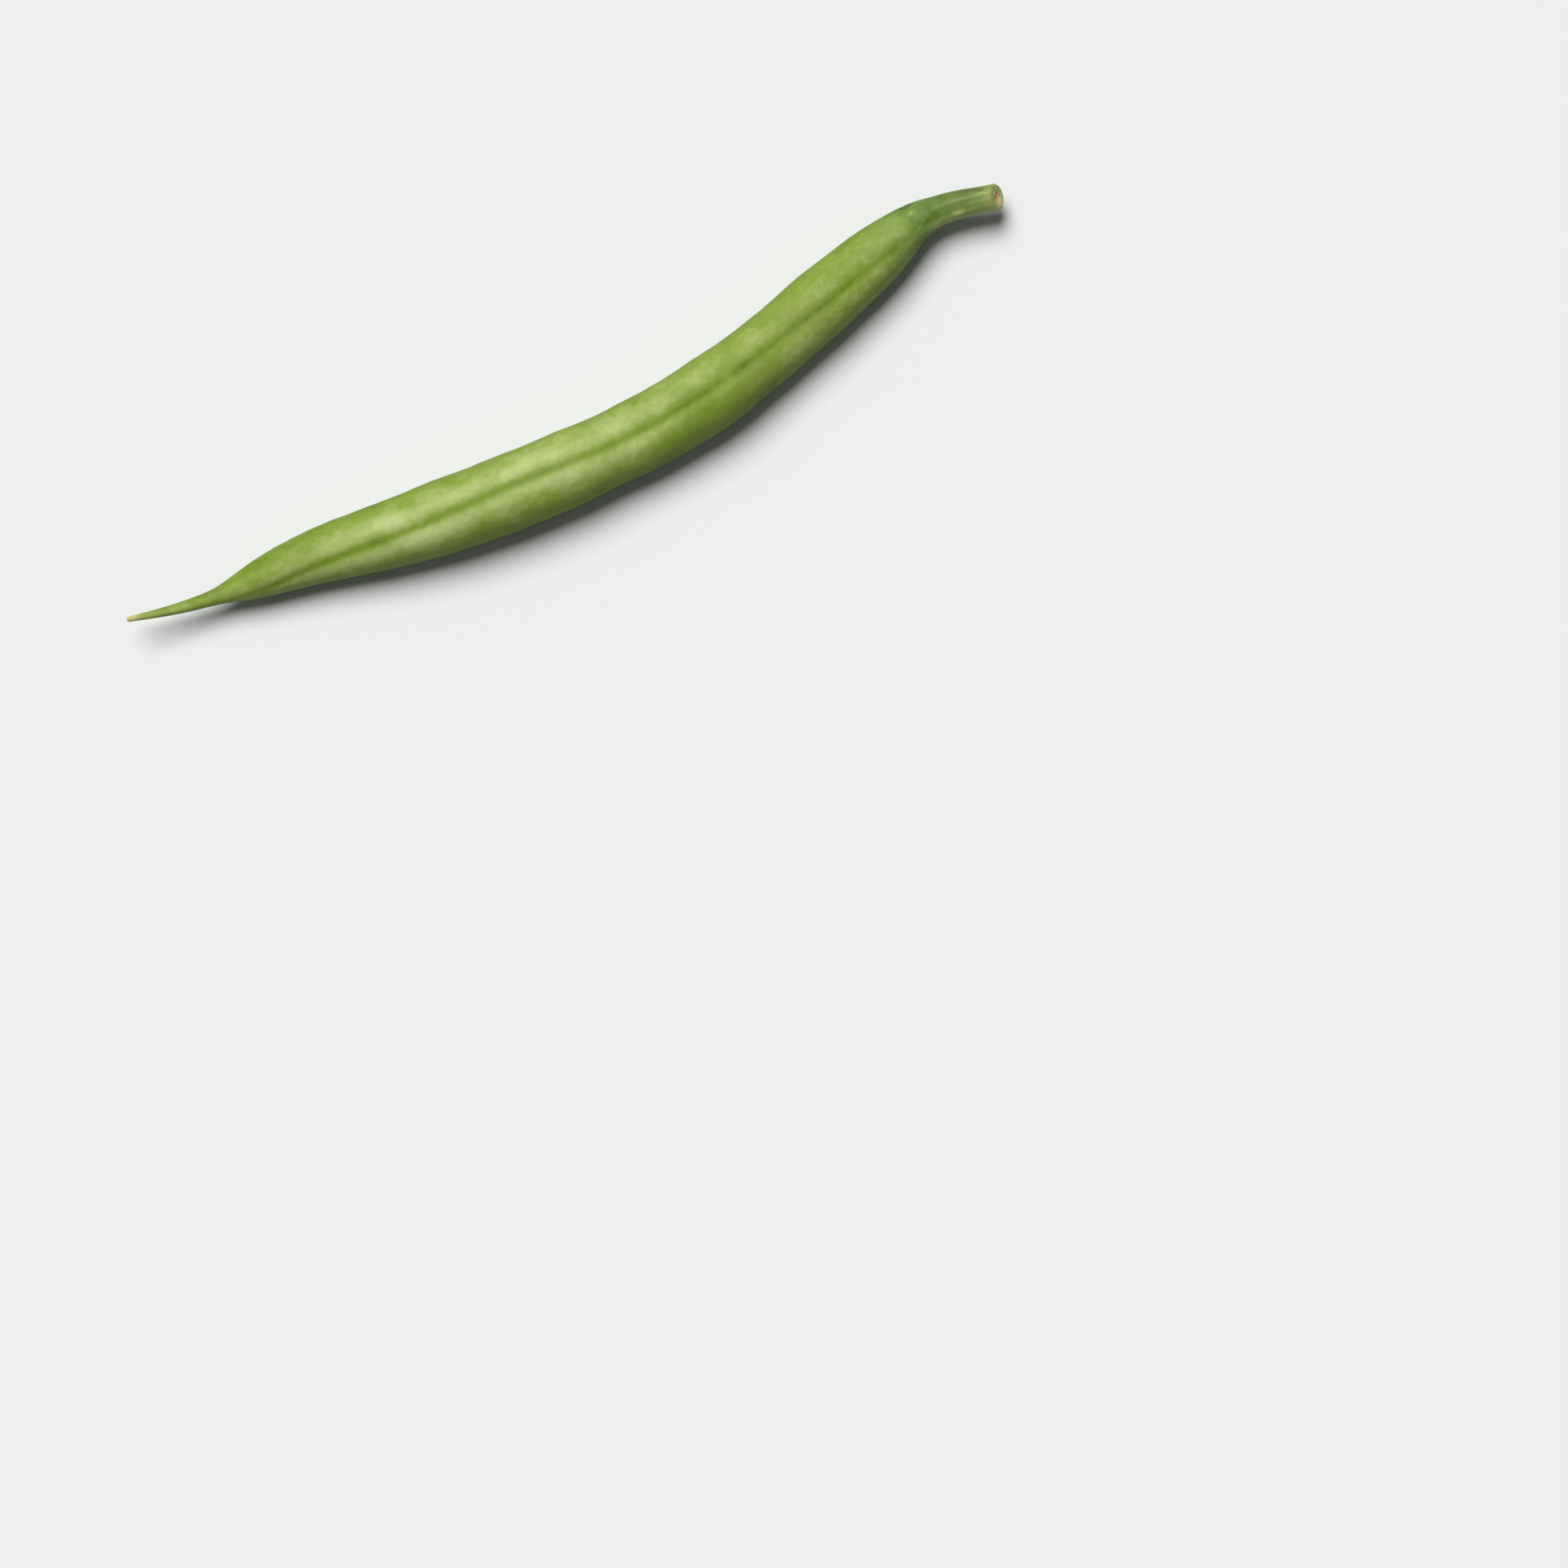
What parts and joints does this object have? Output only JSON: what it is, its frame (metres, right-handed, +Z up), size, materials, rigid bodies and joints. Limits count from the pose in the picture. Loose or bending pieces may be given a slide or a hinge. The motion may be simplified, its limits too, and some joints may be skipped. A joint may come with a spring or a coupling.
{
  "type": "green bean",
  "caption": "Fresh green bean lying on its side: long curved pod with a seam groove and slender beak, calyx, and short cut stem.",
  "frame": {"origin": "on the surface the bean rests on, at the middle of the bean's length and width", "axes": "+X along the bean from the beak's tip towards the stem's cut end, +Z up from the resting surface, with the pod's seam groove facing up"},
  "size_m": [0.132, 0.0176, 0.0094],
  "materials": {
    "pod_skin": "satin",
    "calyx_skin": "satin",
    "stem_skin": "satin"
  },
  "bodies": {
    "root": {"pod": "pod_skin", "calyx": "calyx_skin", "stem": "stem_skin"}
  },
  "joints": []
}
